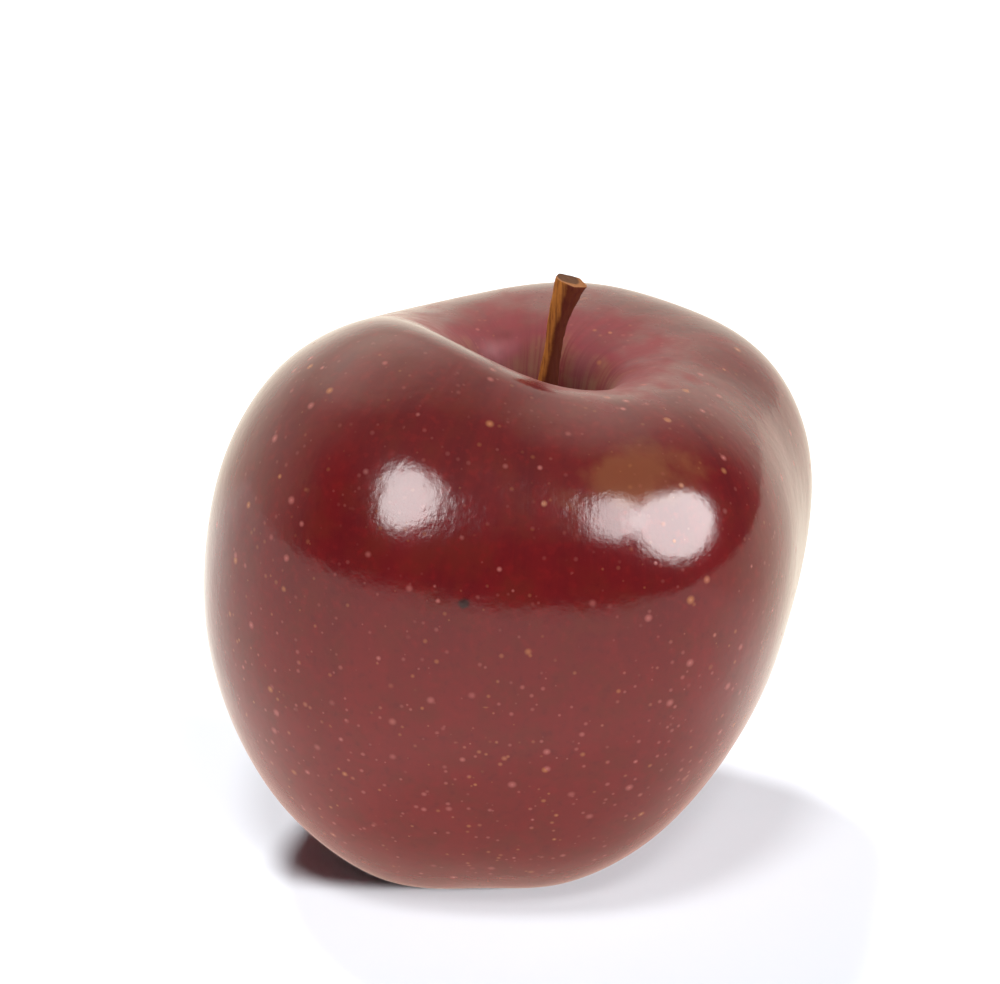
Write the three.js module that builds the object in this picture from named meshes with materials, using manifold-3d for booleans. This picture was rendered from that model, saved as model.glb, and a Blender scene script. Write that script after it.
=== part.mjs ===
// A red apple of the tall, lobed kind, with its stem and its dried calyx. It stands on the feet of its lobes.
// Millimetres, +Z up, with the origin at the bottom centre of the bounding box.
import * as THREE from 'three';
import { mergeVertices } from 'three/addons/utils/BufferGeometryUtils.js';
import Module from 'manifold-3d';

const wasm = await Module();
wasm.setup();

// ---- Driving dimensions of the fruit ----------------------------------------------------------------------

const FACETS_AROUND = 64;
const FACETS_ALONG = 60;

// The meridian of a valley between two lobes, from the calyx eye over the foot, the belly and the shoulder
// down into the stem cavity. The other columns are shares: how much of a lobe's swelling at the shoulder
// (upper) and near the base (lower), of its rise and of its foot is felt there, of the cavity's drift, and
// of the gentler slope (ease) that the cavity's wall has on one side.
const MERIDIAN = [
  { radius: 2.6, height: 9.6, upper: 0, lower: 0, rise: 0, foot: 0, drift: 0, ease: 0 },
  { radius: 5.7, height: 7.3, upper: 0, lower: 0.2, rise: 0, foot: 0.2, drift: 0, ease: 0 },
  { radius: 10, height: 0.1, upper: 0, lower: 0.8, rise: 0, foot: 1, drift: 0, ease: 0 },
  { radius: 22.8, height: 9.2, upper: 0.1, lower: 1, rise: 0, foot: 0.35, drift: 0, ease: 0 },
  { radius: 32.1, height: 27.2, upper: 0.4, lower: 0.8, rise: 0.05, foot: 0.1, drift: 0, ease: 0 },
  { radius: 33.6, height: 46.6, upper: 0.85, lower: 0.35, rise: 0.3, foot: 0, drift: 0, ease: 0 },
  { radius: 28.2, height: 59.3, upper: 1, lower: 0.1, rise: 0.75, foot: 0, drift: 0.1, ease: 0 },
  { radius: 18.1, height: 65.5, upper: 0.75, lower: 0, rise: 1, foot: 0, drift: 0.35, ease: -0.3 },
  { radius: 10.1, height: 63.9, upper: 0.35, lower: 0, rise: 0.55, foot: 0, drift: 0.8, ease: 1 },
  { radius: 7, height: 54.6, upper: 0.08, lower: 0, rise: 0.12, foot: 0, drift: 1, ease: 0.3 },
  { radius: 2.5, height: 53, upper: 0, lower: 0, rise: 0, foot: 0, drift: 1, ease: 0 },
];

// The lobes: where each stands, how narrow it is, how far it swells at the shoulder and near the base,
// how much higher than its valleys it rises, and how much lower its foot reaches.
const LOBES = [
  { azimuth: -137, narrowness: 4.4, upper: 7.2, lower: 3.2, rise: 5.5, foot: 1.3 },
  { azimuth: -55, narrowness: 5.9, upper: 5.7, lower: 2.4, rise: -0.1, foot: 0.2 },
  { azimuth: 29, narrowness: 12.9, upper: 5.1, lower: 3.3, rise: 0.4, foot: -1.1 },
  { azimuth: 74, narrowness: 4, upper: 6.8, lower: 1.2, rise: 2.4, foot: -1.1 },
  { azimuth: 128, narrowness: 6, upper: 4, lower: 2, rise: -1.3, foot: -0.2 },
  { azimuth: 180, narrowness: 3.5, upper: 0.2, lower: 4.1, rise: 1.8, foot: 0.7 },
];

// Towards the back right the cavity's wall is drawn inwards, so its lip rolls over gently instead of sharply.
const EASY_SIDE = { azimuth: 54, narrowness: 3.6, inward: 5.1 };

const CAVITY_DRIFT = { right: 0.8, back: 0.5 }; // how far the stem cavity sits off the middle
const LEAN = { right: 0.023, back: 0.045 }; // how far the growth leans over, per unit of height
const TILT = { right: 4, back: 4.9 }; // degrees that the apple sits tilted on its feet
const FOOT_PRESS = 0.4; // depth of the flat that each foot rests on

const SOCKET_DEPTH = 2.5; // the stem and the calyx stand in shallow sockets
const SOCKET_GAP = 0.3; // between a socket and what stands in it, at its side and at its bottom
const EYE_RADIUS = MERIDIAN[0].radius - SOCKET_GAP;
const ROOT_RADIUS = MERIDIAN.at(-1).radius - SOCKET_GAP;
const ROOT_DEPTH = SOCKET_DEPTH - SOCKET_GAP;

// ---- Driving dimensions of the stem -----------------------------------------------------------------------

// Its centre line, measured from the bottom of the cavity, and its radius there.
const STEM = [
  { right: 0, up: -ROOT_DEPTH, radius: ROOT_RADIUS },
  { right: 0, up: 0, radius: ROOT_RADIUS },
  { right: 1.2, up: 4.8, radius: 1.6 },
  { right: 2.4, up: 9.5, radius: 1.35 },
  { right: 3.2, up: 13.9, radius: 1.15 },
  { right: 3.7, up: 17.5, radius: 1.4 },
  { right: 4.7, up: 21.6, radius: 2 },
];
const STEM_SIDES = 18;
const STEM_STEPS = 26;
const STEM_RIDGES = 5;
const STEM_GROOVE = 0.14; // depth of the grooves between its ridges, as a share of the radius
const STEM_CUT_SLOPE = 0.24; // the cut end drops this much to the right, per unit of width

// ---- Driving dimensions of the calyx ----------------------------------------------------------------------

const SEPALS = 5;
const SEPAL_WIDTH = 3.2;
const SEPAL_THICKNESS = 0.7;
const SEPAL_STEPS = 9;
const SEPAL_TAPER = { share: 0.85, power: 1.5 }; // how much of its width a sepal loses, and how late
const SEPAL_BOW = 0.6; // how strongly a sepal is hollow across, towards the middle
const SEPAL_START = 0.35; // where the first sepal stands, as a share of the step from one to the next
// A sepal's line: distance from the middle, and drop below the eye.
const SEPAL_LINE = [
  { out: 1.5, drop: -0.5 },
  { out: 2.6, drop: 1 },
  { out: 2.3, drop: 2.9 },
  { out: 1.9, drop: 4.3 },
  { out: 2.9, drop: 5.4 },
];
// The dried flower parts in the middle: a stub that starts just above the eye and narrows to its tip.
const STUB_TIP = { drop: 3.2, radius: 0.5 };
const STUB_START = 0.4;
const STUB_SIDES = 20;

// ---- Shape of the fruit -----------------------------------------------------------------------------------

const degrees = THREE.MathUtils.degToRad;

function curveThrough(rows, first, second) {
  return new THREE.SplineCurve(rows.map((row) => new THREE.Vector2(row[first], row[second])));
}

const outline = curveThrough(MERIDIAN, 'radius', 'height');
const swelling = curveThrough(MERIDIAN, 'upper', 'lower');
const lift = curveThrough(MERIDIAN, 'rise', 'foot');
const placing = curveThrough(MERIDIAN, 'drift', 'ease');

// How much of a feature is felt at an angle: 1 at its own azimuth, fading away round the fruit.
function reachOf(feature, angle) {
  return Math.exp(feature.narrowness * (Math.cos(angle - degrees(feature.azimuth)) - 1));
}

// The sum over the lobes of one of their dimensions.
function lobed(angle, dimension) {
  return LOBES.reduce((sum, lobe) => sum + reachOf(lobe, angle) * lobe[dimension], 0);
}

// Leans and tilts a point of the upright fruit into the way that it stands.
function stand(point) {
  point.x += LEAN.right * point.z;
  point.y += LEAN.back * point.z;
  point.applyAxisAngle(new THREE.Vector3(0, 1, 0), degrees(TILT.right));
  point.applyAxisAngle(new THREE.Vector3(1, 0, 0), -degrees(TILT.back));
  return point;
}

function skinPoint(along, angle) {
  const swell = swelling.getPoint(along);
  const share = lift.getPoint(along);
  const profile = outline.getPoint(along);
  const place = placing.getPoint(along);
  const easing = place.y * reachOf(EASY_SIDE, angle) * EASY_SIDE.inward;
  const radius = profile.x + swell.x * lobed(angle, 'upper') + swell.y * lobed(angle, 'lower') - easing;
  const height = profile.y + share.x * lobed(angle, 'rise') - share.y * lobed(angle, 'foot');
  return new THREE.Vector3(
    radius * Math.cos(angle) + place.x * CAVITY_DRIFT.right,
    radius * Math.sin(angle) + place.x * CAVITY_DRIFT.back,
    height,
  );
}

// A closed body from rings of equally many points, which run anticlockwise seen from the last ring.
// Its two ends are closed by fans round the middles of the end rings.
function closedLoft(rings) {
  const sides = rings[0].length;
  const positions = rings.flat().flatMap((point) => point.toArray());
  for (const ring of [rings[0], rings.at(-1)]) {
    const middle = new THREE.Vector3();
    ring.forEach((point) => middle.addScaledVector(point, 1 / sides));
    positions.push(...middle.toArray());
  }
  const firstMiddle = rings.length * sides;
  const lastMiddle = firstMiddle + 1;
  const lastRing = (rings.length - 1) * sides;
  const index = [];
  for (let side = 0; side < sides; side += 1) {
    const next = (side + 1) % sides;
    index.push(firstMiddle, next, side);
    index.push(lastMiddle, lastRing + side, lastRing + next);
    for (let ring = 0; ring < rings.length - 1; ring += 1) {
      const low = ring * sides;
      const high = low + sides;
      index.push(low + side, low + next, high + next);
      index.push(low + side, high + next, high + side);
    }
  }
  const geometry = new THREE.BufferGeometry();
  geometry.setAttribute('position', new THREE.Float32BufferAttribute(positions, 3));
  geometry.setIndex(index);
  return geometry;
}

function ringOf(sides, pointAt) {
  return Array.from({ length: sides }, (_, side) => pointAt((2 * Math.PI * side) / sides));
}

function fruitGeometry() {
  const rings = [];
  for (let step = 0; step <= FACETS_ALONG; step += 1) {
    rings.push(ringOf(FACETS_AROUND, (angle) => skinPoint(step / FACETS_ALONG, angle)));
  }
  for (const point of rings.flat()) {
    stand(point);
    point.z = Math.max(point.z - FOOT_PRESS, 0);
  }
  const bottomOf = (ring, depth) => ring.map((point) => new THREE.Vector3(point.x, point.y, point.z + depth));
  rings.unshift(bottomOf(rings[0], SOCKET_DEPTH));
  rings.push(bottomOf(rings.at(-1), -SOCKET_DEPTH));
  return closedLoft(rings);
}

// ---- Shape of the stem ------------------------------------------------------------------------------------

function stemGeometry() {
  const line = curveThrough(STEM, 'right', 'up');
  const widths = curveThrough(STEM, 'radius', 'radius');
  const rings = [];
  for (let step = 0; step <= STEM_STEPS; step += 1) {
    const along = step / STEM_STEPS;
    const centre = line.getPoint(along);
    const heading = line.getTangent(along);
    const radius = widths.getPoint(along).x;
    rings.push(ringOf(STEM_SIDES, (angle) => {
      const groove = 0.5 - 0.5 * Math.cos(STEM_RIDGES * angle + along);
      const ridged = radius * (1 - STEM_GROOVE * groove);
      const across = ridged * Math.cos(angle);
      const point = new THREE.Vector3(
        centre.x + across * heading.y,
        ridged * Math.sin(angle),
        centre.y - across * heading.x,
      );
      if (step === STEM_STEPS) point.z -= STEM_CUT_SLOPE * across;
      return point;
    }));
  }
  return closedLoft(rings);
}

// ---- Shape of the calyx -----------------------------------------------------------------------------------

function solidOf(geometry) {
  const bare = mergeVertices(geometry);
  const mesh = new wasm.Mesh({
    numProp: 3,
    vertProperties: new Float32Array(bare.attributes.position.array),
    triVerts: new Uint32Array(bare.index.array),
  });
  return new wasm.Manifold(mesh);
}

function geometryOf(solid) {
  const mesh = solid.getMesh();
  const geometry = new THREE.BufferGeometry();
  geometry.setAttribute('position', new THREE.BufferAttribute(mesh.vertProperties, 3));
  geometry.setIndex(new THREE.BufferAttribute(mesh.triVerts, 1));
  return geometry;
}

// One dried sepal: a pointed blade, hollow towards the middle, that hangs from the eye.
function sepalGeometry(azimuth) {
  const line = curveThrough(SEPAL_LINE, 'out', 'drop');
  const rings = [];
  for (let step = 0; step <= SEPAL_STEPS; step += 1) {
    const along = step / SEPAL_STEPS;
    const centre = line.getPoint(along);
    const heading = line.getTangent(along);
    const half = (SEPAL_WIDTH / 2) * (1 - SEPAL_TAPER.share * along ** SEPAL_TAPER.power);
    const thick = SEPAL_THICKNESS / 2;
    const corners = [
      [-half, 0],
      [-half / 2, -thick],
      [half / 2, -thick],
      [half, 0],
      [half / 2, thick],
      [-half / 2, thick],
    ];
    rings.push(corners.map(([across, through]) => {
      const bow = (SEPAL_BOW * across ** 2) / SEPAL_WIDTH;
      const out = centre.x + (through - bow) * heading.y;
      const drop = centre.y - (through - bow) * heading.x;
      return new THREE.Vector3(out, across, -drop).applyAxisAngle(new THREE.Vector3(0, 0, 1), azimuth);
    }));
  }
  return closedLoft(rings);
}

function calyxGeometry() {
  const stub = new THREE.LatheGeometry([
    new THREE.Vector2(0, -STUB_TIP.drop),
    new THREE.Vector2(STUB_TIP.radius, -STUB_TIP.drop),
    new THREE.Vector2(EYE_RADIUS, STUB_START),
    new THREE.Vector2(EYE_RADIUS, ROOT_DEPTH),
    new THREE.Vector2(0, ROOT_DEPTH),
  ], STUB_SIDES).rotateX(Math.PI / 2);
  stub.deleteAttribute('normal');
  stub.deleteAttribute('uv');
  let calyx = solidOf(stub);
  for (let sepal = 0; sepal < SEPALS; sepal += 1) {
    calyx = calyx.add(solidOf(sepalGeometry((2 * Math.PI * (sepal + SEPAL_START)) / SEPALS)));
  }
  return geometryOf(calyx);
}

// ---- The apple --------------------------------------------------------------------------------------------

const SKIN_RED = new THREE.MeshStandardMaterial({ color: 0x6a1519, roughness: 0.25, metalness: 0 });
const STEM_BROWN = new THREE.MeshStandardMaterial({ color: 0x7a4a28, roughness: 0.8, metalness: 0 });
const CALYX_BROWN = new THREE.MeshStandardMaterial({ color: 0x5a4630, roughness: 0.9, metalness: 0 });

function piece(name, geometry, material) {
  const mesh = new THREE.Mesh(geometry, material);
  mesh.name = name;
  return mesh;
}

// The middle of the ring at one end of the standing fruit's meridian.
function endOfSkin(along) {
  const ring = ringOf(FACETS_AROUND, (angle) => stand(skinPoint(along, angle)));
  const middle = new THREE.Vector3();
  ring.forEach((point) => middle.addScaledVector(point, 1 / FACETS_AROUND));
  middle.z -= FOOT_PRESS;
  return middle;
}

const apple = new THREE.Group();
apple.add(piece('fruit', fruitGeometry(), SKIN_RED));

const stem = piece('stem', stemGeometry(), STEM_BROWN);
stem.position.copy(endOfSkin(1));
apple.add(stem);

const calyx = piece('calyx', calyxGeometry(), CALYX_BROWN);
calyx.position.copy(endOfSkin(0));
apple.add(calyx);

const box = new THREE.Box3().setFromObject(apple);
apple.position.set(-(box.min.x + box.max.x) / 2, -(box.min.y + box.max.y) / 2, -box.min.z);

export default apple;
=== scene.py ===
# %% [markdown]
# # A red apple, dressed for its portrait
#
# The apple arrives as three plain solids: the fruit, its stem and its calyx. This lesson gives each of them
# its living surface. A fruit is judged by its skin, so most of the work goes there: a waxy gloss over a deep
# red, fine stripes that run from the stem to the eye, pale breathing pores, and russet where the stem grows.

# %% Load the solids
import math

import bpy
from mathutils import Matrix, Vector


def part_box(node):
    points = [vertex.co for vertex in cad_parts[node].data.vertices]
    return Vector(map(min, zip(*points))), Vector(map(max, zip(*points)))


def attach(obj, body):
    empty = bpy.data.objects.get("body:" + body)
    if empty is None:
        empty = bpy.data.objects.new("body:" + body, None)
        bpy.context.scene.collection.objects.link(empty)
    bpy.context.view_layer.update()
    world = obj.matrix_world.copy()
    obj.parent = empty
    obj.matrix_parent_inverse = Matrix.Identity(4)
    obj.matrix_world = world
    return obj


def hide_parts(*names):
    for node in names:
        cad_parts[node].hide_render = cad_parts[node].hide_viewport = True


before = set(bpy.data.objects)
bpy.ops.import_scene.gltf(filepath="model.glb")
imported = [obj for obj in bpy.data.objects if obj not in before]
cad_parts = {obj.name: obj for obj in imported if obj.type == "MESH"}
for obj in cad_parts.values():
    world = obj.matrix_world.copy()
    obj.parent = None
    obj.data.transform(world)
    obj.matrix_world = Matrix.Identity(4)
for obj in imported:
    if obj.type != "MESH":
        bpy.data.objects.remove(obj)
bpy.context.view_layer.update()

# %% [markdown]
# ## The camera
#
# A small object looks natural through a long lens from a little above, because a near wide lens would swell
# its front. The camera stands 0.7 m away. It is aimed at a point a little above the middle of the apple, so
# that the apple sits low in the picture with air above it.

# %% Camera
MM = 0.001
FILM_WIDTH_MM = 36
LENS_MM = 202.0
CAMERA_AT = Vector((-3.0, -642.6, 329.3)) * MM
CAMERA_AIM = Vector((-1.4, -2.0, 47.1)) * MM


def put_in_scene(thing):
    bpy.context.scene.collection.objects.link(thing)
    return thing


def aim(thing, at, towards):
    thing.location = at
    thing.rotation_euler = (towards - at).to_track_quat("-Z", "Y").to_euler()


camera = put_in_scene(bpy.data.objects.new("camera", bpy.data.cameras.new("camera")))
camera.data.lens = LENS_MM
camera.data.sensor_width = FILM_WIDTH_MM
aim(camera, CAMERA_AT, CAMERA_AIM)
bpy.context.scene.camera = camera
slope = math.degrees(math.asin((CAMERA_AT - CAMERA_AIM).normalized().z))
print("The camera looks down", round(slope, 1), "degrees")

# %% [markdown]
# ## Helpers for node trees
#
# A material is a tree of nodes. A few small helpers keep the cells below short: one adds a node with its
# settings and fills its sockets, either with a number or with a link from another node, and the others are
# the sums, fades and blends that every pattern needs. Groups hold a pattern that is used more than once.

# %% Add a node


def fill_socket(tree, socket, value):
    """Gives a socket its value: a link if the value comes out of another node, otherwise a number."""
    if isinstance(value, bpy.types.NodeSocket):
        tree.links.new(value, socket)
    else:
        socket.default_value = value


def add_node(tree, kind, inputs=None, **settings):
    node = tree.nodes.new(kind)
    for name, value in settings.items():
        setattr(node, name, value)
    for name, value in (inputs or {}).items():
        fill_socket(tree, node.inputs[name], value)
    return node


print("Nodes can be added")

# %% Sums, fades and blends
MIX_AMOUNT, MIX_FIRST, MIX_SECOND, MIX_RESULT = 0, 6, 7, 2  # the colour sockets of a Mix node, by their order


def maths(tree, operation, first, second=0.0, third=0.0):
    return add_node(tree, "ShaderNodeMath", {0: first, 1: second, 2: third}, operation=operation).outputs[0]


def vector_maths(tree, operation, first, second=(0.0, 0.0, 0.0)):
    return add_node(tree, "ShaderNodeVectorMath", {0: first, 1: second}, operation=operation)


def fade(tree, value, start, end, low=0.0, high=1.0):
    """A smooth step: low at start and high at end."""
    node = add_node(
        tree,
        "ShaderNodeMapRange",
        {"Value": value, "From Min": start, "From Max": end, "To Min": low, "To Max": high},
        interpolation_type="SMOOTHSTEP",
    )
    return node.outputs["Result"]


def blend_colours(tree, amount, first, second):
    """The first colour where amount is 0, and the second where it is 1."""
    sockets = {MIX_AMOUNT: amount, MIX_FIRST: first, MIX_SECOND: second}
    node = add_node(tree, "ShaderNodeMix", data_type="RGBA", blend_type="MIX")
    for index, value in sockets.items():
        fill_socket(tree, node.inputs[index], value)
    return node.outputs[MIX_RESULT]


def noise_pattern(tree, place, scale, detail):
    """An uneven grey pattern, scale lumps to the metre."""
    inputs = {"Vector": place, "Scale": scale, "Detail": detail}
    return add_node(tree, "ShaderNodeTexNoise", inputs).outputs["Fac"]


print("Sums, fades and blends are ready")

# %% Node groups


def new_group(name, inputs, outputs):
    """An empty node group. inputs are (name, socket kind, start value), outputs are (name, socket kind)."""
    group = bpy.data.node_groups.new(name, "ShaderNodeTree")
    for label, kind, value in inputs:
        socket = group.interface.new_socket(label, in_out="INPUT", socket_type=kind)
        if value is not None:
            socket.default_value = value
    for label, kind in outputs:
        group.interface.new_socket(label, in_out="OUTPUT", socket_type=kind)
    entry = group.nodes.new("NodeGroupInput")
    leaving = group.nodes.new("NodeGroupOutput")
    return group, entry.outputs, leaving.inputs


def use_group(tree, group, **inputs):
    node = tree.nodes.new("ShaderNodeGroup")
    node.node_tree = group
    for name, value in inputs.items():
        fill_socket(tree, node.inputs[name], value)
    return node.outputs


print("Groups can be made and used")

# %% [markdown]
# ## The studio
#
# A glossy fruit shows the whole room in its skin, so the room is half of its look. The wall behind the apple
# and the ceiling are bright and a little warm, and the room behind the camera is dark. This leaves a deep
# red band across the front, between the floor mirrored below and the ceiling mirrored above.
#
# The room is only seen, in the gloss and as the white background. The light itself comes from lamps. Soft
# boxes light the apple alone: some are mirrored in the skin as highlights, and some only bring out its
# colour. Far lamps light the floor alone, so the shadows can be set without changing the apple.
#
# The floor has its own look in the gloss: a little warmer, with fainter shadows, a painted red bounce from
# the apple and painted shade close to its foot, painted shade behind it on the right, and painted shade far
# out in front, where the studio ends.

# %% Floor
FLOOR_SIZE = 6.0
FLOOR_ROUGHNESS = 0.8
FLOOR_COLOUR = (0.82, 0.855, 0.90, 1)
FLOOR_IN_GLOSS = (0.83, 0.81, 0.74, 1)
# painted shade in the mirrored floor behind the apple on the right
FLOOR_BEHIND_SHADE = (0.67, 0.62, 0.52, 1)
BACK_RIGHT = (0.5, 0.86, 0.0)
BACK_RIGHT_FADE = (0.02, 0.09)  # in metres from the apple's middle, as all the floor's fades are
# painted shade in the mirrored floor far out in front
FLOOR_FAR_FRONT_SHADE = (0.10, 0.09, 0.07, 1)
FRONT_FADE = (-0.25, -1.3)
# painted red bounce light and painted shade in the mirrored floor close to the apple's foot
FLOOR_UNDER_SHADE_AND_BOUNCE = (0.49, 0.32, 0.27, 1)
UNDER_FADE = (0.070, 0.018)

bpy.ops.object.select_all(action="DESELECT")
bpy.ops.mesh.primitive_plane_add(size=FLOOR_SIZE, location=(0, 0, 0))
floor = bpy.context.object
floor.name = "floor"
floor_paint = bpy.data.materials.new("floor_paint")
floor_paint.use_nodes = True
floor_shader = floor_paint.node_tree.nodes["Principled BSDF"]
floor_shader.inputs["Roughness"].default_value = FLOOR_ROUGHNESS
floor_shader.inputs["Specular IOR Level"].default_value = 0.0
floor.data.materials.append(floor_paint)
print("The floor is", FLOOR_SIZE, "m wide")

# %% The floor's look in the gloss
GLOW_SHARE = 0.75  # how much of the mirrored floor glows by itself, which keeps its shadows faint
GLOW_STRENGTH = 1.9  # as bright as the lamps make the open floor
FIRST_BOUNCE = 0.5  # light that has met a matt surface before has a depth of 1 or more

tree = floor_paint.node_tree
on_floor = add_node(tree, "ShaderNodeTexCoord").outputs["Object"]
towards_back_right = vector_maths(tree, "DOT_PRODUCT", on_floor, BACK_RIGHT).outputs["Value"]
towards_front = add_node(tree, "ShaderNodeSeparateXYZ", {0: on_floor}).outputs["Y"]
from_apple = vector_maths(tree, "LENGTH", on_floor).outputs["Value"]
# The floor seen in the gloss gets painted shade behind on the right, far in front and near the foot, and
# painted red bounce light near the foot
in_gloss = blend_colours(tree, fade(tree, towards_back_right, *BACK_RIGHT_FADE), FLOOR_IN_GLOSS, FLOOR_BEHIND_SHADE)
in_gloss = blend_colours(tree, fade(tree, towards_front, *FRONT_FADE), in_gloss, FLOOR_FAR_FRONT_SHADE)
in_gloss = blend_colours(tree, fade(tree, from_apple, *UNDER_FADE), in_gloss, FLOOR_UNDER_SHADE_AND_BOUNCE)

ray = add_node(tree, "ShaderNodeLightPath").outputs
first_bounce = maths(tree, "LESS_THAN", ray["Diffuse Depth"], FIRST_BOUNCE)
seen_in_gloss = maths(tree, "MULTIPLY", ray["Is Glossy Ray"], first_bounce)
floor_colour = blend_colours(tree, seen_in_gloss, FLOOR_COLOUR, in_gloss)
glow_share = maths(tree, "MULTIPLY", seen_in_gloss, GLOW_SHARE)
tree.links.new(
    blend_colours(tree, glow_share, floor_colour, (0, 0, 0, 1)), floor_shader.inputs["Base Color"]
)
tree.links.new(in_gloss, floor_shader.inputs["Emission Color"])
glow = maths(tree, "MULTIPLY", seen_in_gloss, GLOW_SHARE * GLOW_STRENGTH)
tree.links.new(glow, floor_shader.inputs["Emission Strength"])
print("The floor's paint has", len(tree.nodes), "nodes")

# %% A bright room with a dark side behind the camera
DARK_FADE = (0.45, 0.9)  # upwards, from the horizon at 0 to straight up at 1
DARK_LOW, DARK_HIGH = 0.07, 0.42
WHITE_BACK = 1.25
WHITE_WAY = Vector((-0.52, 0.85, 0.0))
WHITE_EDGE = (-0.06, 0.80)
CEILING_LIGHT = 1.0
CEILING_WAY = Vector((-0.20, 0.50, 0.84))
CEILING_EDGE = (0.78, 0.96)
WALL_COLOUR = (1.0, 0.985, 0.84, 1)
WHITE = (1, 1, 1, 1)

world = bpy.data.worlds.new("studio")
bpy.context.scene.world = world
world.cycles.sampling_method = "NONE"
world.use_nodes = True
room = world.node_tree
direction = add_node(room, "ShaderNodeTexCoord").outputs["Generated"]
upwards = add_node(room, "ShaderNodeSeparateXYZ", {0: direction}).outputs["Z"]
towards_white = vector_maths(room, "DOT_PRODUCT", direction, WHITE_WAY).outputs["Value"]
towards_ceiling = vector_maths(room, "DOT_PRODUCT", direction, CEILING_WAY).outputs["Value"]
dark = fade(room, upwards, *DARK_FADE, DARK_LOW, DARK_HIGH)
white = fade(room, towards_white, *WHITE_EDGE, 0.0, WHITE_BACK)
ceiling = fade(room, towards_ceiling, *CEILING_EDGE, 0.0, CEILING_LIGHT)
mirrored = maths(room, "ADD", maths(room, "ADD", dark, white), ceiling)
ray = add_node(room, "ShaderNodeLightPath").outputs
first_bounce = maths(room, "LESS_THAN", ray["Diffuse Depth"], FIRST_BOUNCE)
brightness = maths(room, "MULTIPLY", mirrored, first_bounce)
shown = maths(room, "MAXIMUM", brightness, ray["Is Camera Ray"])
room.links.new(shown, room.nodes["Background"].inputs["Strength"])
wall_colour = blend_colours(room, ray["Is Camera Ray"], WALL_COLOUR, WHITE)
room.links.new(wall_colour, room.nodes["Background"].inputs["Color"])
bpy.context.scene.view_settings.view_transform = "Standard"
print("The room is bright behind the apple and dark behind the camera")

# %% Soft boxes
APPLE_MIDDLE = Vector((0, 0, 0.04))
# name: (metres away, degrees right of the camera, degrees up, width, height, brightness, roll)
# A highlight is one strong box and a wider, weaker one behind it, which softens its rim.
GLOSS_BOXES = {
    "gloss_left": (1.00, -19, 37, 0.31, 0.53, 14.5, -20),
    "gloss_left_rim": (1.05, -19, 37, 0.42, 0.70, 5.0, -20),
    "gloss_right": (1.00, 62, 32, 0.84, 0.68, 14.0, 0),
    "gloss_right_rim": (1.05, 62, 32, 1.01, 0.88, 6.0, 0),
    "gloss_right_side": (1.00, 30, 45, 0.24, 0.48, 10.5, -25),
    "gloss_right_side_rim": (1.05, 30, 45, 0.34, 0.62, 5.0, -25),
}
SKIN_BOXES = {
    "skin_back": (1.00, 180, 45, 1.60, 1.30, 1.2, 0),
    "skin_back_left": (1.00, -115, 30, 1.30, 1.30, 1.3, 0),
    "skin_back_right": (1.00, 115, 30, 1.30, 1.30, 1.15, 0),
    "skin_top": (1.00, 0, 88, 1.20, 1.20, 1.1, 0),
    "skin_left": (1.00, -30, 34, 0.50, 0.50, 3.5, 0),
    "skin_right": (1.00, 44, 34, 0.80, 0.60, 3.3, 0),
}
apple_only = bpy.data.collections.new("apple_only")


def lamp_way(azimuth, height):
    turn = math.radians(azimuth)
    lift = math.radians(height)
    return Vector((math.sin(turn) * math.cos(lift), -math.cos(turn) * math.cos(lift), math.sin(lift)))


def soft_box(name, facts, in_gloss):
    distance, azimuth, height, width, depth, brightness, roll = facts
    lamp = bpy.data.lights.new(name, "AREA")
    lamp.shape = "ELLIPSE"
    lamp.size = width
    lamp.size_y = depth
    lamp.energy = brightness * math.pi * math.pi / 4 * width * depth
    box = put_in_scene(bpy.data.objects.new(name, lamp))
    aim(box, APPLE_MIDDLE + lamp_way(azimuth, height) * distance, APPLE_MIDDLE)
    box.rotation_euler.rotate_axis("Z", math.radians(roll))
    box.light_linking.receiver_collection = apple_only
    box.visible_camera = False
    box.visible_diffuse = not in_gloss
    box.visible_glossy = in_gloss


for name, facts in GLOSS_BOXES.items():
    soft_box(name, facts, in_gloss=True)
for name, facts in SKIN_BOXES.items():
    soft_box(name, facts, in_gloss=False)
print(len(GLOSS_BOXES), "boxes make highlights and", len(SKIN_BOXES), "bring out the colour")

# %% Far lamps for the floor
FAR_LAMP_ANGLE = math.radians(12)
# name: (degrees to the right of the camera, degrees up, how bright it makes the floor)
FAR_LAMPS = {
    "far_back": (-149, 61, 0.68),
    "far_front_left": (-15, 63, 0.25),
    "far_front_right": (15, 49, 0.15),
    "far_low_right": (69, 9, 0.48),
    "far_low_left": (-44, 27, 0.015),
}
floor_only = bpy.data.collections.new("floor_only")
floor_only.objects.link(floor)


def far_lamp(name, azimuth, height, floor_brightness):
    way = lamp_way(azimuth, height)
    lamp = bpy.data.lights.new(name, "SUN")
    lamp.angle = FAR_LAMP_ANGLE
    lamp.energy = floor_brightness * math.pi / (FLOOR_COLOUR[0] * way.z)
    sun = put_in_scene(bpy.data.objects.new(name, lamp))
    aim(sun, way, Vector())
    sun.light_linking.receiver_collection = floor_only


for name, facts in FAR_LAMPS.items():
    far_lamp(name, *facts)
print(len(FAR_LAMPS), "far lamps light the floor")

# %% [markdown]
# ## The fruit's mesh
#
# The solid of the fruit has flat facets. Its copy is merged, turned back into four-sided faces and
# subdivided, which rounds it without changing its form. The solid has a small socket where the stem stands,
# and one for the calyx. On a real apple the skin grows right up to the stem, so the sockets' walls are taken
# out here, and the skin is drawn in until it goes into the stem.

# %% Copy a solid
MERGE_DISTANCE = 0.01 * MM
QUAD_FACE_ANGLE = math.radians(60)
QUAD_SHAPE_ANGLE = math.radians(80)


def select_only(thing):
    bpy.ops.object.select_all(action="DESELECT")
    thing.select_set(True)
    bpy.context.view_layer.objects.active = thing


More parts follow.
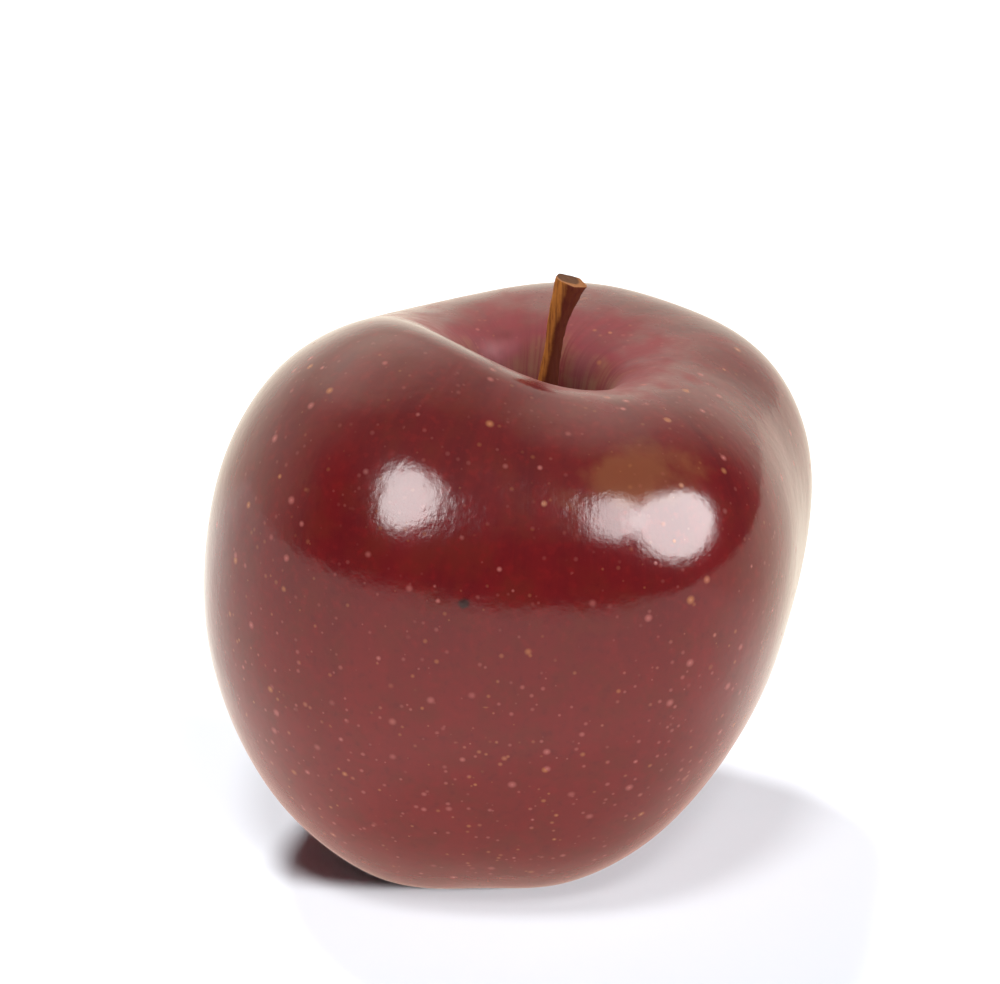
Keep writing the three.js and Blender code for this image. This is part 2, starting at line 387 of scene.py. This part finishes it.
def copy_of_solid(node, name):
    """A new piece with the mesh of a solid, its loose triangles merged into whole faces."""
    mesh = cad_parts[node].data.copy()
    mesh.name = name
    mesh.materials.clear()
    piece = put_in_scene(bpy.data.objects.new(name, mesh))
    apple_only.objects.link(piece)
    select_only(piece)
    if mesh.has_custom_normals:
        bpy.ops.mesh.customdata_custom_splitnormals_clear()
    bpy.ops.object.mode_set(mode="EDIT")
    bpy.ops.mesh.select_all(action="SELECT")
    bpy.ops.mesh.remove_doubles(threshold=MERGE_DISTANCE)
    bpy.ops.mesh.tris_convert_to_quads(face_threshold=QUAD_FACE_ANGLE, shape_threshold=QUAD_SHAPE_ANGLE)
    bpy.ops.object.mode_set(mode="OBJECT")
    bpy.ops.object.shade_smooth()
    return piece


fruit = copy_of_solid("fruit", "apple_skin")
print("The merged skin has", len(fruit.data.polygons), "faces")

# %% Select, measure and modify


def select_faces(piece, wanted):
    """Selects the faces for which wanted(centre, normal) is true, counts them and stays in edit mode."""
    select_only(piece)
    bpy.ops.object.mode_set(mode="EDIT")
    bpy.ops.mesh.select_mode(type="FACE")
    bpy.ops.mesh.select_all(action="DESELECT")
    bpy.ops.object.mode_set(mode="OBJECT")
    for face in piece.data.polygons:
        face.select = wanted(face.center, face.normal)
    chosen = sum(face.select for face in piece.data.polygons)
    bpy.ops.object.mode_set(mode="EDIT")
    return chosen


def middle_of_end(node, height, depth):
    """The middle of the part of a solid that lies within depth of a height."""
    near = [v.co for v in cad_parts[node].data.vertices if abs(v.co.z - height) < depth]
    return sum(near, Vector()) / len(near)


def apply_modifier(piece, kind, **settings):
    select_only(piece)
    modifier = piece.modifiers.new(kind.lower(), kind)
    for name, value in settings.items():
        setattr(modifier, name, value)
    bpy.ops.object.modifier_apply(modifier=modifier.name)


ROOT_DEPTH = 2.2 * MM
END_DEPTH = 0.2 * MM
stem_low, stem_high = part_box("stem")
calyx_low, calyx_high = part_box("calyx")
stem_foot = middle_of_end("stem", stem_low.z, END_DEPTH)
calyx_foot = middle_of_end("calyx", calyx_high.z, END_DEPTH)
CAVITY = Vector((stem_foot.x, stem_foot.y, stem_low.z + ROOT_DEPTH))
EYE = Vector((calyx_foot.x, calyx_foot.y, calyx_high.z - ROOT_DEPTH))
print("The stem grows from", round(CAVITY.z / MM, 1), "mm up, and the eye is", round(EYE.z / MM, 1), "mm up")

# %% Draw the skin in round the stem and the calyx
SOCKET_REACH = 2.9 * MM
SOCKET_LIP = 0.7 * MM
SOCKET_DEPTH = 8.0 * MM
# For each ring: its size as a share of the ring before, and its depth below it.
DRAWN_IN = ((0.8, 0.35 * MM), (0.6, 0.9 * MM), (0.4, 0.4 * MM))


def close_skin(piece, mouth, inwards):
    """Takes the socket beyond a mouth out, and draws the skin's edge inwards to a point."""

    def in_socket(centre, normal):
        across = (centre - mouth).xy.length
        depth = (centre.z - mouth.z) * inwards
        return across < SOCKET_REACH and SOCKET_LIP < depth < SOCKET_DEPTH

    count = select_faces(piece, in_socket)
    bpy.ops.mesh.delete(type="FACE")
    bpy.ops.mesh.select_all(action="DESELECT")
    bpy.ops.mesh.select_mode(type="EDGE")
    bpy.ops.mesh.select_non_manifold()
    for size, depth in DRAWN_IN:
        bpy.ops.mesh.extrude_region_move(TRANSFORM_OT_translate={"value": (0, 0, inwards * depth)})
        bpy.ops.transform.resize(value=(size, size, 1))
    bpy.ops.mesh.edge_face_add()
    bpy.ops.mesh.poke()
    bpy.ops.object.mode_set(mode="OBJECT")
    return count


under_stem = close_skin(fruit, CAVITY, -1)
under_calyx = close_skin(fruit, EYE, 1)
print("Socket faces taken out:", under_stem, "and", under_calyx)
apply_modifier(fruit, "SUBSURF", levels=2, render_levels=2)
bpy.ops.object.shade_smooth()
print("The finished skin has", len(fruit.data.polygons), "faces")

# %% [markdown]
# ## Patterns that the skin needs
#
# Three patterns grow with the fruit. Stripes follow its meridians, so their pattern stretches along the
# growing axis and is fine round it. Breathing pores are dots of many sizes: a cell pattern gives one dot a
# cell, and only some cells keep theirs. Patches, such as russet or a bruise, fade out raggedly with distance.
# Each is a node group, built once and used with other values in each place.

# %% Stripes along the meridians
STRIPE_DETAIL = 3.0

stripes, group_in, group_out = new_group(
    "meridian_stripes",
    [
        ("Vector", "NodeSocketVector", None),
        ("Round", "NodeSocketFloat", 20.0),
        ("Along", "NodeSocketFloat", 20.0),
        ("Roughness", "NodeSocketFloat", 0.5),
    ],
    [("Stripe", "NodeSocketFloat")],
)
parts = add_node(stripes, "ShaderNodeSeparateXYZ", {0: group_in["Vector"]}).outputs
flat = add_node(stripes, "ShaderNodeCombineXYZ", {"X": parts["X"], "Y": parts["Y"]}).outputs[0]
bearing = vector_maths(stripes, "NORMALIZE", flat).outputs[0]
scaled = {0: bearing, "Scale": group_in["Round"]}
spread = add_node(stripes, "ShaderNodeVectorMath", scaled, operation="SCALE").outputs[0]
height = maths(stripes, "MULTIPLY", parts["Z"], group_in["Along"])
lift = add_node(stripes, "ShaderNodeCombineXYZ", {"Z": height}).outputs[0]
place = vector_maths(stripes, "ADD", spread, lift).outputs[0]
noise = add_node(
    stripes,
    "ShaderNodeTexNoise",
    {"Vector": place, "Scale": 1.0, "Detail": STRIPE_DETAIL, "Roughness": group_in["Roughness"]},
)
stripes.links.new(noise.outputs["Fac"], group_out["Stripe"])
print("Group made:", stripes.name)

# %% Pores
SMALLEST_DOT = 0.5
DOT_RANGE = 0.8
SOFT_RIM = 0.8

pores, group_in, group_out = new_group(
    "pores",
    [
        ("Vector", "NodeSocketVector", None),
        ("Cells", "NodeSocketFloat", 300.0),
        ("Size", "NodeSocketFloat", 0.2),
        ("Kept", "NodeSocketFloat", 0.5),
    ],
    [("Dot", "NodeSocketFloat"), ("Tint", "NodeSocketFloat")],
)
cells = add_node(pores, "ShaderNodeTexVoronoi", {"Vector": group_in["Vector"], "Scale": group_in["Cells"]})
chance = add_node(pores, "ShaderNodeSeparateColor", {0: cells.outputs["Color"]}).outputs
own_size = maths(pores, "MULTIPLY_ADD", chance["Red"], DOT_RANGE, SMALLEST_DOT)
reach = maths(pores, "MULTIPLY", group_in["Size"], own_size)
edge = maths(pores, "SUBTRACT", reach, cells.outputs["Distance"])
dot = fade(pores, maths(pores, "DIVIDE", edge, reach), 0.0, SOFT_RIM)
kept = maths(pores, "LESS_THAN", chance["Green"], group_in["Kept"])
pores.links.new(maths(pores, "MULTIPLY", dot, kept), group_out["Dot"])
pores.links.new(chance["Blue"], group_out["Tint"])
print("Group made:", pores.name)

# %% A soft, ragged patch
PATCH_DETAIL = 4.0
PATCH_EDGE = (1.0, 0.35)  # as shares of its reach: nothing at the first, the whole patch at the second

patch, group_in, group_out = new_group(
    "patch",
    [
        ("Vector", "NodeSocketVector", None),
        ("Middle", "NodeSocketVector", (0, 0, 0)),
        ("Reach", "NodeSocketVector", (1, 1, 1)),
        ("Ragged", "NodeSocketFloat", 0.3),
        ("Grain", "NodeSocketFloat", 200.0),
    ],
    [("Mask", "NodeSocketFloat")],
)
offset = vector_maths(patch, "SUBTRACT", group_in["Vector"], group_in["Middle"]).outputs[0]
shaped = vector_maths(patch, "DIVIDE", offset, group_in["Reach"]).outputs[0]
away = vector_maths(patch, "LENGTH", shaped).outputs["Value"]
grain = noise_pattern(patch, group_in["Vector"], group_in["Grain"], PATCH_DETAIL)
wander = maths(patch, "MULTIPLY", maths(patch, "SUBTRACT", grain, 0.5), group_in["Ragged"])
patch.links.new(fade(patch, maths(patch, "ADD", away, wander), *PATCH_EDGE), group_out["Mask"])
print("Group made:", patch.name)

# %% [markdown]
# ## The skin's colour
#
# The colour is a deep, nearly black crimson that the fine stripes lighten and darken, and that turns a little
# warmer and lighter low down: partly the skin's own tone, partly painted bounce light from the floor below.
# The bowl round the stem is rosier. On top come the patches: an olive-gold one on the front right shoulder,
# russet in rays round the stem, the pores, and one bruise.
#
# All this could be painted on an unwrapped skin, but a closed and dented form has no good place for a seam.
# So every pattern is worked out from a point's place in space. A mapping node turns the stripes onto the
# fruit's own growing axis, which leans.

# %% Skin material
CLEAR_WAX = 0.125
SKIN_IOR = 1.40
BLOOM = (1.0, 0.88, 0.74, 1)
BLOOM_WEIGHT = 0.12
BLOOM_ROUGHNESS = 0.35


def new_material(name, roughness, ior):
    material = bpy.data.materials.new(name)
    material.use_nodes = True
    shader = material.node_tree.nodes["Principled BSDF"]
    shader.inputs["Roughness"].default_value = roughness
    shader.inputs["IOR"].default_value = ior
    return material, material.node_tree, shader


skin, tree, shader = new_material("apple_skin", CLEAR_WAX, SKIN_IOR)
shader.inputs["Sheen Weight"].default_value = BLOOM_WEIGHT
shader.inputs["Sheen Roughness"].default_value = BLOOM_ROUGHNESS
shader.inputs["Sheen Tint"].default_value = BLOOM
place = add_node(tree, "ShaderNodeTexCoord").outputs["Object"]
lean = (CAVITY - EYE).normalized().to_track_quat("Z", "Y").to_euler()
along_axis = add_node(
    tree,
    "ShaderNodeMapping",
    {"Vector": place, "Location": EYE, "Rotation": lean},
    vector_type="TEXTURE",
).outputs[0]
print("The patterns are turned by", [round(math.degrees(turn), 1) for turn in lean], "degrees")

# %% Deep red ground
CRIMSON = (0.145, 0.0070, 0.0090, 1)
MAROON = (0.105, 0.0060, 0.0085, 1)
SCARLET = (0.185, 0.0090, 0.0100, 1)
RUST = (0.130, 0.0125, 0.0085, 1)
# A warmer, lighter red low down: partly the skin's own tone, partly painted bounce light from the floor
# below.
WARM_RED_AND_BOUNCE = (0.190, 0.0110, 0.0105, 1)
LOW_DOWN = (0.056, 0.030)  # heights between which the skin turns warmer
WARMTH_AND_BOUNCE = 0.55
BLOTCHES = 230.0  # lumps to the metre, as for every noise here
MOTTLES = 900.0
# For each layer: where its pattern starts to show, where it shows most, and how much it covers there.
BROAD_STRIPES = (0.3, 0.7, 1.0)
FINE_STRIPES = (0.45, 0.8, 0.25)
RUSTY_BLOTCHES = (0.40, 0.70, 0.7)
LIGHT_MOTTLES = (0.50, 0.75, 0.6)
DARK_MOTTLES = (0.45, 0.25, 0.5)


def stripe_pattern(tree, place, round_it, along_it, roughness=0.6):
    """Stripes with so many lumps round the fruit, and so many to the metre along it."""
    outputs = use_group(tree, stripes, Vector=place, Round=round_it, Along=along_it, Roughness=roughness)
    return outputs["Stripe"]


def layer(tree, pattern, facts, under, over):
    """Lays a colour over another one where a pattern shows."""
    start, most, cover = facts
    return blend_colours(tree, fade(tree, pattern, start, most, 0.0, cover), under, over)


broad = stripe_pattern(tree, along_axis, 7.0, 25.0, roughness=0.55)
fine = stripe_pattern(tree, along_axis, 38.0, 60.0)
blotch = noise_pattern(tree, place, BLOTCHES, 3.0)
mottle = noise_pattern(tree, place, MOTTLES, 3.0)
height = add_node(tree, "ShaderNodeSeparateXYZ", {0: place}).outputs["Z"]
low_down = fade(tree, height, *LOW_DOWN)
colour = layer(tree, broad, BROAD_STRIPES, MAROON, CRIMSON)
# Low down, painted bounce light from the floor is mixed into the skin's warmer tone.
colour = blend_colours(tree, maths(tree, "MULTIPLY", low_down, WARMTH_AND_BOUNCE), colour, WARM_RED_AND_BOUNCE)
colour = layer(tree, fine, FINE_STRIPES, colour, SCARLET)
colour = layer(tree, blotch, RUSTY_BLOTCHES, colour, RUST)
colour = layer(tree, mottle, LIGHT_MOTTLES, colour, SCARLET)
colour = layer(tree, mottle, DARK_MOTTLES, colour, MAROON)
print("The ground has five reds")

# %% Olive patch, rosy bowl and russet
OLIVE = (0.205, 0.056, 0.022, 1)
OLIVE_AT = Vector((15, -29, 60.8)) * MM
OLIVE_REACH = Vector((12, 9, 3.6)) * MM
OLIVE_COVER = 0.8
ROSE = (0.215, 0.0150, 0.0250, 1)
BOWL_REACH = Vector((31, 31, 25)) * MM
ROSE_RAYS = (0.3, 0.65, 0.6, 1.0)  # where a ray starts and is full, then the cover between rays and in them
RUSSET = (0.260, 0.130, 0.060, 1)
RUSSET_REACH = Vector((16, 16, 19)) * MM
RUSSET_RAYS = (0.30, 0.65, 0.15, 0.8)


def patch_mask(tree, place, middle, reach, ragged, grain=200.0):
    outputs = use_group(tree, patch, Vector=place, Middle=middle, Reach=reach, Ragged=ragged, Grain=grain)
    return outputs["Mask"]


olive_mask = patch_mask(tree, place, OLIVE_AT, OLIVE_REACH, 1.6)
colour = blend_colours(tree, maths(tree, "MULTIPLY", olive_mask, OLIVE_COVER), colour, OLIVE)

in_bowl = patch_mask(tree, place, CAVITY, BOWL_REACH, 0.6)
rays = stripe_pattern(tree, along_axis, 16.0, 30.0)
rosy = maths(tree, "MULTIPLY", in_bowl, fade(tree, rays, *ROSE_RAYS))
colour = blend_colours(tree, rosy, colour, ROSE)

near_stem = patch_mask(tree, place, CAVITY, RUSSET_REACH, 1.5)
russet_mask = maths(tree, "MULTIPLY", near_stem, fade(tree, rays, *RUSSET_RAYS))
colour = blend_colours(tree, russet_mask, colour, RUSSET)
print("Olive, rose and russet are on")

# %% Pores and one bruise
PORE_PINK = (0.42, 0.110, 0.095, 1)
PORE_ORANGE = (0.44, 0.150, 0.055, 1)
LARGE_CELLS = 420.0
LARGE_KEPT = 0.35
LARGE_MORE_LOW = 0.35  # so many more are kept low down
LARGE_COVER = 0.7
SMALL_CELLS = 780.0
SMALL_COVER = 0.20
SMALL_MORE_LOW = 0.30
ORANGE_TINTS = (0.55, 0.85)
BRUISE = (0.020, 0.012, 0.012, 1)
BRUISE_AT = Vector((-5.8, -38.1, 48.5)) * MM
BRUISE_REACH = Vector((0.9, 2, 0.9)) * MM
BRUISE_COVER = 0.85

many = maths(tree, "MULTIPLY_ADD", low_down, LARGE_MORE_LOW, LARGE_KEPT)
large = use_group(tree, pores, Vector=place, Cells=LARGE_CELLS, Size=0.24, Kept=many)
small = use_group(tree, pores, Vector=place, Cells=SMALL_CELLS, Size=0.26, Kept=0.7)
pore_tint = blend_colours(tree, fade(tree, large["Tint"], *ORANGE_TINTS), PORE_PINK, PORE_ORANGE)
small_cover = maths(tree, "MULTIPLY_ADD", low_down, SMALL_MORE_LOW, SMALL_COVER)
faint = maths(tree, "MULTIPLY", small["Dot"], small_cover)
colour = blend_colours(tree, faint, colour, pore_tint)
colour = blend_colours(tree, maths(tree, "MULTIPLY", large["Dot"], LARGE_COVER), colour, pore_tint)

bruise_mask = patch_mask(tree, place, BRUISE_AT, BRUISE_REACH, 0.6, grain=900.0)
colour = blend_colours(tree, maths(tree, "MULTIPLY", bruise_mask, BRUISE_COVER), colour, BRUISE)
tree.links.new(colour, shader.inputs["Base Color"])
print("A pore's cell is", round(1 / LARGE_CELLS / MM, 1), "or", round(1 / SMALL_CELLS / MM, 1), "mm wide")

# %% [markdown]
# ## The skin's gloss
#
# Wax makes one clear gloss, with a faint cream bloom at the edges. Grown skin is never quite even, so three
# bumps break the gloss: a slow wave that bends the highlights, small dimples, and a grain along the stripes.
# They are a tenth of a millimetre deep at most and never show in the outline, so they are bumps in the
# material rather than shapes in the mesh. The bowl is drier than the shoulders, and the larger pores are a
# little dull.

# %% Bumps and gloss
WAVES = 170.0
WAVE_HEIGHT = 0.09 * MM
DIMPLES = 1300.0
DIMPLE_DEPTH = 0.017 * MM
GRAIN_HEIGHT = 0.008 * MM
DRY_BOWL = 0.83
DULL_PORE = 0.15


def bump(tree, height, distance, below=None):
    """A bump of the given height, on top of the one below."""
    inputs = {"Height": height, "Strength": 1.0, "Distance": distance}
    if below is not None:
        inputs["Normal"] = below
    return add_node(tree, "ShaderNodeBump", inputs).outputs[0]


wave = bump(tree, noise_pattern(tree, place, WAVES, 2.0), WAVE_HEIGHT)
dimples = bump(tree, noise_pattern(tree, place, DIMPLES, 2.0), DIMPLE_DEPTH, below=wave)
grain = bump(tree, stripe_pattern(tree, along_axis, 60.0, 260.0), GRAIN_HEIGHT, below=dimples)
tree.links.new(grain, shader.inputs["Normal"])
dull = maths(tree, "MULTIPLY_ADD", in_bowl, DRY_BOWL, CLEAR_WAX)
roughness = maths(tree, "MULTIPLY_ADD", large["Dot"], DULL_PORE, dull)
tree.links.new(roughness, shader.inputs["Roughness"])
fruit.data.materials.append(skin)
print("Skin material:", len(tree.nodes), "nodes")

# %% Put the skin in place
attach(fruit, "root")
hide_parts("fruit")
print("The dressed skin stands for the solid fruit")

# %% [markdown]
# ## The stem
#
# The stem is a dry woody stalk, thin in its middle and flared where it was cut. Its copy of the solid is
# first pulled into its final bend: its waist goes a little to the left, and its cut end is raised, widened
# and turned. Each move fades along the stalk, as proportional editing does by hand. The cut end keeps its
# edge, because an inset holds it, and sinks a little in the middle, as dried pith does. Then the stalk is
# subdivided and roughened by a displacement, which gives it bark.

# %% Bend the stem
WAIST_HEIGHT = 65.5 * MM
WAIST_HALF_LENGTH = 1.5 * MM
WAIST_SHIFT = Vector((-0.75, 0, 0)) * MM
CUT_SLOPE_NORMAL = 0.8
CUT_DEPTH = 2 * MM
CUT_MIDDLE = middle_of_end("stem", stem_high.z, 1.2 * MM) + Vector((0.5, 0.6, 0)) * MM
CUT_SHIFT = Vector((-0.05, 0, 1.0)) * MM
CUT_SPREAD = (1.10, 1.0, 1.0)
CUT_TURN = math.radians(6)


def fading(reach):
    """The settings that let a move fade out over a distance, as proportional editing does by hand."""
    return {
        "use_proportional_edit": True,
        "proportional_edit_falloff": "SMOOTH",
        "proportional_size": reach,
    }


def at_waist(centre, normal):
    return abs(centre.z - WAIST_HEIGHT) < WAIST_HALF_LENGTH


def at_cut(centre, normal):
    return normal.z > CUT_SLOPE_NORMAL and centre.z > stem_high.z - CUT_DEPTH


stem = copy_of_solid("stem", "apple_stem")
select_faces(stem, at_waist)
bpy.ops.transform.translate(value=WAIST_SHIFT, **fading(8 * MM))
bpy.ops.object.mode_set(mode="OBJECT")
cut = select_faces(stem, at_cut)
new_middle = CUT_MIDDLE + CUT_SHIFT
bpy.ops.transform.translate(value=CUT_SHIFT, **fading(6 * MM))
bpy.ops.transform.resize(value=CUT_SPREAD, center_override=new_middle, **fading(7 * MM))
bpy.ops.transform.rotate(value=CUT_TURN, orient_axis="Y", center_override=new_middle)
print("The cut end has", cut, "faces")

# %% Cut end and bark
CUT_RIM = 0.18 * MM
PITH_RIM = 0.35 * MM
PITH_SINK = 0.12 * MM
BARK_LUMPS = 1.1 * MM
BARK_DEPTH = 0.22 * MM

bpy.ops.mesh.inset(thickness=CUT_RIM)
bpy.ops.mesh.inset(thickness=PITH_RIM, depth=-PITH_SINK)
bpy.ops.object.mode_set(mode="OBJECT")
apply_modifier(stem, "SUBSURF", levels=2, render_levels=2)
bark = bpy.data.textures.new("bark", "CLOUDS")
bark.noise_scale = BARK_LUMPS
bark.noise_depth = 3
apply_modifier(stem, "DISPLACE", texture=bark, strength=BARK_DEPTH, mid_level=0.5, texture_coords="LOCAL")
bpy.ops.object.shade_smooth()
print("The stem has", len(stem.data.polygons), "faces")

# %% [markdown]
# ## The stem's colour
#
# The left side of the stalk is tan brown and the right side wine red: partly the wood's own colours, and
# partly painted light on the left and painted shade on the right. Dark fibres run along the stalk. They could
# follow a wave pattern, but real ones start and stop, so they are noise that is squeezed in height. The cut
# shows a tan rim of wood round a brown pith, and is found by its height and its slope.

# %% Wood
# The tan side and the wine-red side are partly the wood's own colours and partly painted light and shade: lit
# on the left, shaded on the right.
TAN = (0.520, 0.190, 0.040, 1)
BROWN = (0.190, 0.060, 0.020, 1)
WINE_AND_SHADE = (0.080, 0.010, 0.008, 1)
STEM_HALF_WIDTH = 2.5 * MM
FIBRES = 2600.0
FIBRE_SQUEEZE = (1, 1, 0.12)
KNOTS = 420.0
KNOT_WANDER = 1.2 * MM
WINE_AND_SHADE_EDGE = (-0.6 * MM, 0.1 * MM)
WINE_AND_SHADE_COVER = 0.92
TAN_FIBRES = (0.25, 0.60)
WOOD_ROUGHNESS = 0.75
WOOD_IOR = 1.12  # nearly no gloss, as dry wood has

wood, tree, shader = new_material("stem_wood", WOOD_ROUGHNESS, WOOD_IOR)
place = add_node(tree, "ShaderNodeTexCoord").outputs["Object"]
stem_lean = (stem_high.x - STEM_HALF_WIDTH - CAVITY.x) / (stem_high.z - CAVITY.z)
from_foot = vector_maths(tree, "SUBTRACT", place, CAVITY).outputs[0]
sides = add_node(tree, "ShaderNodeSeparateXYZ", {0: from_foot}).outputs
across = maths(tree, "SUBTRACT", sides["X"], maths(tree, "MULTIPLY", sides["Z"], stem_lean))
squeezed = vector_maths(tree, "MULTIPLY", place, FIBRE_SQUEEZE).outputs[0]
fibres = noise_pattern(tree, squeezed, FIBRES, 5.0)
knots = noise_pattern(tree, place, KNOTS, 3.0)
colour = blend_colours(tree, fade(tree, fibres, *TAN_FIBRES), BROWN, TAN)
wander = maths(tree, "MULTIPLY", maths(tree, "SUBTRACT", knots, 0.5), KNOT_WANDER)
shaded = maths(tree, "ADD", across, wander)
# Painted shade on the stalk's right side, over the wood's own wine red.
colour = blend_colours(tree, fade(tree, shaded, *WINE_AND_SHADE_EDGE, 0.0, WINE_AND_SHADE_COVER), colour, WINE_AND_SHADE)
print("The stem leans", round(math.degrees(math.atan(stem_lean)), 1), "degrees to the right")

# %% The cut end's colour
CUT_TAN = (0.340, 0.140, 0.055, 1)
PITH = (0.120, 0.055, 0.030, 1)
TOP_BAND = (2.2 * MM, 1.2 * MM)  # below the stem's top
UPWARD = (0.6, 0.85)
PITH_EDGE = (1.3 * MM, 1.7 * MM)
FIBRE_DEPTH = 0.12 * MM

geometry = add_node(tree, "ShaderNodeNewGeometry").outputs
normal_up = add_node(tree, "ShaderNodeSeparateXYZ", {0: geometry["Normal"]}).outputs["Z"]
stem_length = stem_high.z - CAVITY.z
at_top = fade(tree, sides["Z"], stem_length - TOP_BAND[0], stem_length - TOP_BAND[1])
cut_mask = maths(tree, "MULTIPLY", at_top, fade(tree, normal_up, *UPWARD))
from_pith = vector_maths(tree, "SUBTRACT", place, new_middle).outputs[0]
off_pith = vector_maths(tree, "LENGTH", from_pith).outputs["Value"]
cut_colour = blend_colours(tree, fade(tree, off_pith, *PITH_EDGE), PITH, CUT_TAN)
colour = blend_colours(tree, cut_mask, colour, cut_colour)
tree.links.new(colour, shader.inputs["Base Color"])
tree.links.new(bump(tree, fibres, FIBRE_DEPTH), shader.inputs["Normal"])
stem.data.materials.append(wood)

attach(stem, "root")
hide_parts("stem")
print("Stem material:", len(tree.nodes), "nodes")

# %% [markdown]
# ## The calyx
#
# Under the apple sits what is left of its flower: five dried sepals round a few dead stamens. The solid's
# sepals are remade as one fine skin by a voxel remesh, because that joins blades and stub as growth does.
# The remesh's steps are smoothed away, and the skin is then wrinkled by a displacement.

# %% Calyx mesh
VOXEL = 0.16 * MM
WRINKLE_LUMPS = 1.2 * MM
WRINKLE_DEPTH = 0.3 * MM

calyx = copy_of_solid("calyx", "apple_calyx")
apply_modifier(calyx, "REMESH", mode="VOXEL", voxel_size=VOXEL)
apply_modifier(calyx, "SMOOTH", factor=0.5, iterations=4)
wrinkles = bpy.data.textures.new("wrinkles", "CLOUDS")
wrinkles.noise_scale = WRINKLE_LUMPS
apply_modifier(
    calyx, "DISPLACE", texture=wrinkles, strength=WRINKLE_DEPTH, mid_level=0.5, texture_coords="LOCAL"
)
bpy.ops.object.shade_smooth()
print("The calyx has", len(calyx.data.polygons), "faces")

# %% Dried sepals
DARK_SEPAL = (0.035, 0.020, 0.012, 1)
DRY_SEPAL = (0.150, 0.098, 0.052, 1)
VEINS = 1800.0
LIGHT_VEINS = (0.35, 0.65)
FELT_DEPTH = 0.1 * MM
SEPAL_ROUGHNESS = 0.85
SEPAL_IOR = 1.4

dried, tree, shader = new_material("dried_sepal", SEPAL_ROUGHNESS, SEPAL_IOR)
place = add_node(tree, "ShaderNodeTexCoord").outputs["Object"]
veins = noise_pattern(tree, place, VEINS, 5.0)
colour = blend_colours(tree, fade(tree, veins, *LIGHT_VEINS), DARK_SEPAL, DRY_SEPAL)
tree.links.new(colour, shader.inputs["Base Color"])
tree.links.new(bump(tree, veins, FELT_DEPTH), shader.inputs["Normal"])
calyx.data.materials.append(dried)

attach(calyx, "root")
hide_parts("calyx")
print("Calyx material:", len(tree.nodes), "nodes")
